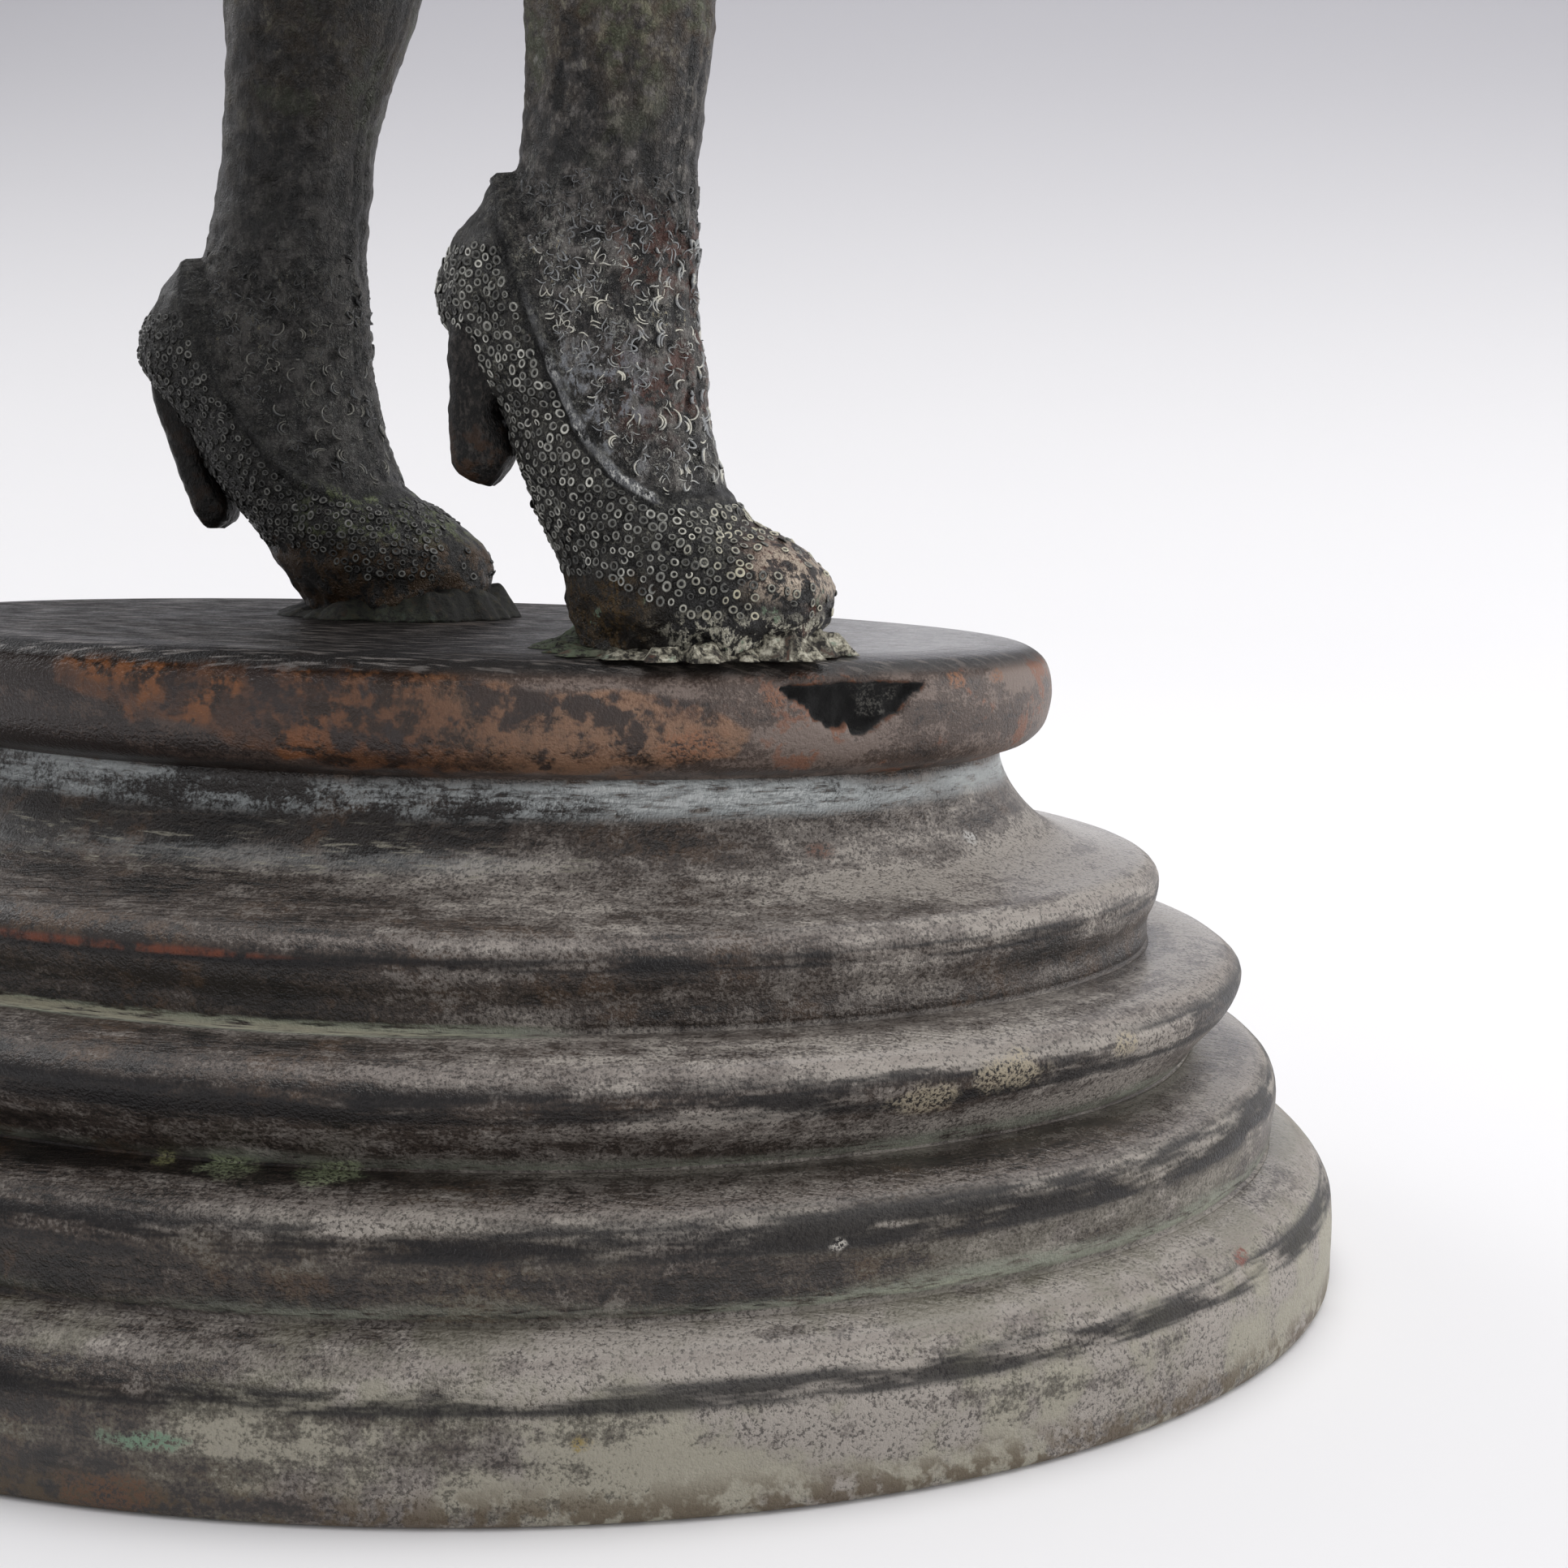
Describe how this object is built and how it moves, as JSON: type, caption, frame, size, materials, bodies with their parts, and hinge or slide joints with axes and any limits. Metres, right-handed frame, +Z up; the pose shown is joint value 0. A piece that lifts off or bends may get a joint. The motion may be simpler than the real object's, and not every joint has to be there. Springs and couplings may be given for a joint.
{
  "type": "art deco dancer statuette",
  "caption": "Bronze dancer stepping on tiptoe in court shoes, one arm raised over the head and one held out, on an oval stepped and moulded base.",
  "frame": {"origin": "centre of the flat underside of the oval base", "axes": "+Z up, +X along the long axis of the oval and the way the dancer steps, the dancer's right side toward -Y"},
  "size_m": [0.2142, 0.1315, 0.496],
  "materials": {
    "bronze_base": "dark patina, waxed and rubbed, satin",
    "bronze_figure": "dark green-brown patina over a rough cast and punched surface"
  },
  "bodies": {
    "root": {"base": "bronze_base", "figure": "bronze_figure"}
  },
  "joints": []
}
